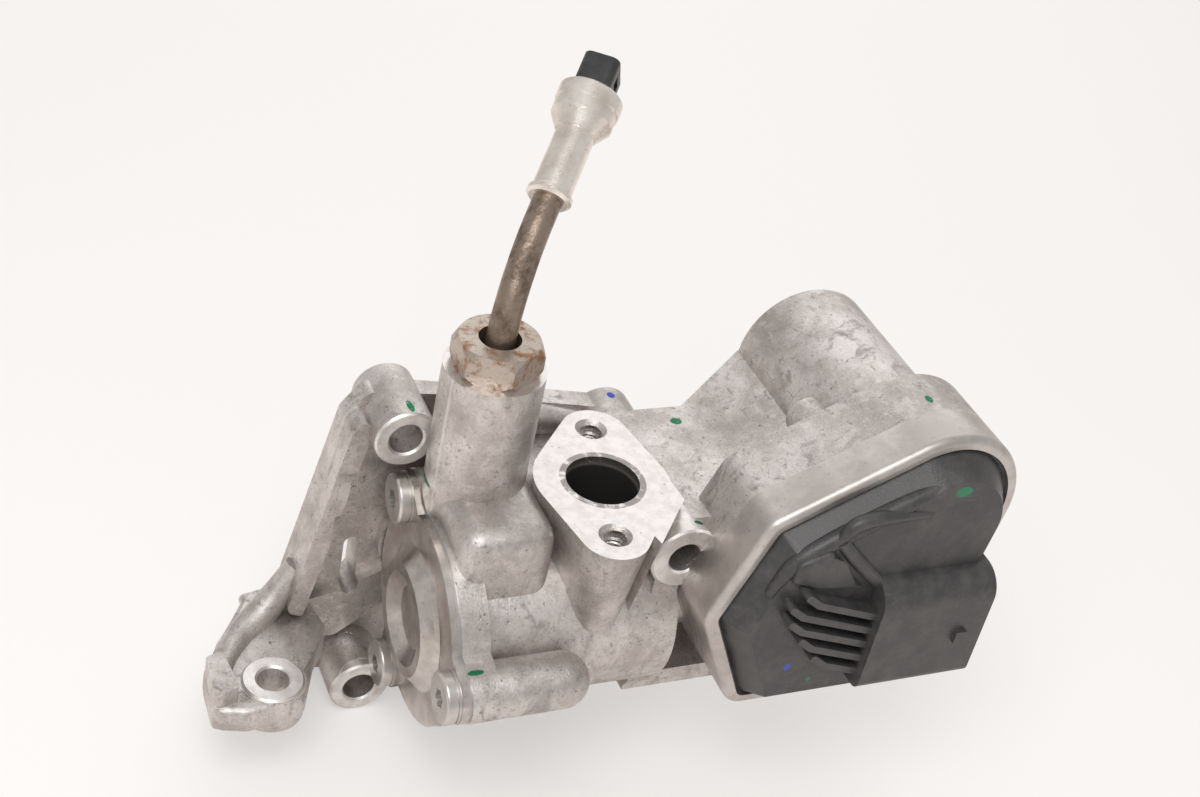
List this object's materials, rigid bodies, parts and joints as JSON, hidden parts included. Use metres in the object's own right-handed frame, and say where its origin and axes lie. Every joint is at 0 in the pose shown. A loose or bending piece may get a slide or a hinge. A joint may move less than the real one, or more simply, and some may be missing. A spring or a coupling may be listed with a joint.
{
  "type": "egr valve",
  "caption": "Motor-driven exhaust gas recirculation valve: cast body with gas ports, poppet valve, cam and gear drive under a black cover, and a sensor on a bent tube.",
  "frame": {"origin": "centre of the top gas port, on the face of its flange", "axes": "+Z out of the top gas port, +X along the valve stem towards the actuator, -Y the side that carries the black gearbox cover; the rear mounting face looks to +Y"},
  "size_m": [0.2145, 0.1182, 0.1973],
  "materials": {
    "cast_aluminium": "sand-textured die casting, bare",
    "pressed_steel": "stamped and zinc plated",
    "turned_steel": "machined",
    "zinc_screw": "zinc plated",
    "stained_tube": "drawn steel, heat stained",
    "gasket_grey": "beaded sheet",
    "black_moulding": "glass filled, matt",
    "black_plug": "matt",
    "gear_plastic": "natural",
    "board_green": "lacquered board",
    "magnet_black": "bonded magnet",
    "bearing_bronze": "sintered",
    "contact_tin": "tin plated",
    "seal_rubber": "moulded",
    "spring_wire": "drawn"
  },
  "bodies": {
    "housing": {"main_housing": "cast_aluminium", "cover_plate": "pressed_steel", "cover_gasket": "gasket_grey", "cover_screws": "zinc_screw", "valve_seat": "turned_steel", "stem_bush": "bearing_bronze", "stem_seal": "seal_rubber", "return_spring": "spring_wire", "output_bushes": "bearing_bronze", "position_sensor_board": "board_green", "intermediate_axle": "turned_steel", "motor_can": "pressed_steel", "motor_end_cap": "pressed_steel", "motor_screws": "zinc_screw", "crimp_ring": "pressed_steel", "gearbox_cover": "black_moulding", "gearbox_seal": "seal_rubber", "connector_pins": "contact_tin", "gland_nut": "turned_steel", "sensor_ferrule": "turned_steel", "sensor_probe": "stained_tube", "sensor_tube": "stained_tube", "sensor_crimp_sleeve": "pressed_steel", "sensor_head": "pressed_steel", "sensor_plug": "black_plug", "sensor_pins": "contact_tin"},
    "output": {"output_shaft": "turned_steel", "output_gear": "gear_plastic", "cam_disc": "turned_steel", "position_magnet": "magnet_black"},
    "intermediate": {"intermediate_gear": "gear_plastic"},
    "rotor": {"motor_shaft": "turned_steel", "motor_pinion": "bearing_bronze"},
    "valve": {"valve_stem": "turned_steel", "valve_disc": "turned_steel", "stem_fork": "turned_steel", "roller_pin": "turned_steel", "spring_retainer": "pressed_steel"},
    "roller": {"cam_roller": "turned_steel"}
  },
  "joints": [
    {"name": "shaft_turn", "type": "hinge", "parent": "housing", "child": "output", "pos_m": [0.068, 0, -0.036], "axis": [0, -1, 0], "range_deg": [0, 100]},
    {"name": "intermediate_spin", "type": "hinge", "parent": "housing", "child": "intermediate", "pos_m": [0.06353, 0, -0.00431], "axis": [0, -1, 0], "range_deg": [-433.53, 0]},
    {"name": "motor_spin", "type": "hinge", "parent": "housing", "child": "rotor", "pos_m": [0.0825, 0, 0.0076], "axis": [0, -1, 0], "range_deg": [0, 1589.39]},
    {"name": "valve_slide", "type": "slide", "parent": "housing", "child": "valve", "axis": [-1, 0, 0], "range_m": [0, 0.008], "stiffness_N_per_m": 1500, "springref_m": -0.004, "deforming": ["return_spring"]},
    {"name": "roller_spin", "type": "hinge", "parent": "valve", "child": "roller", "pos_m": [0.057, 0, -0.043], "axis": [0, -1, 0], "range_deg": [-480.5, 0]}
  ],
  "couplings": [
    {"joint": "shaft_turn", "follows": "valve_slide", "rad_per_m": 218.17},
    {"joint": "intermediate_spin", "follows": "valve_slide", "rad_per_m": -945.39},
    {"joint": "motor_spin", "follows": "valve_slide", "rad_per_m": 3466.4},
    {"joint": "roller_spin", "follows": "valve_slide", "rad_per_m": -1047.2}
  ]
}
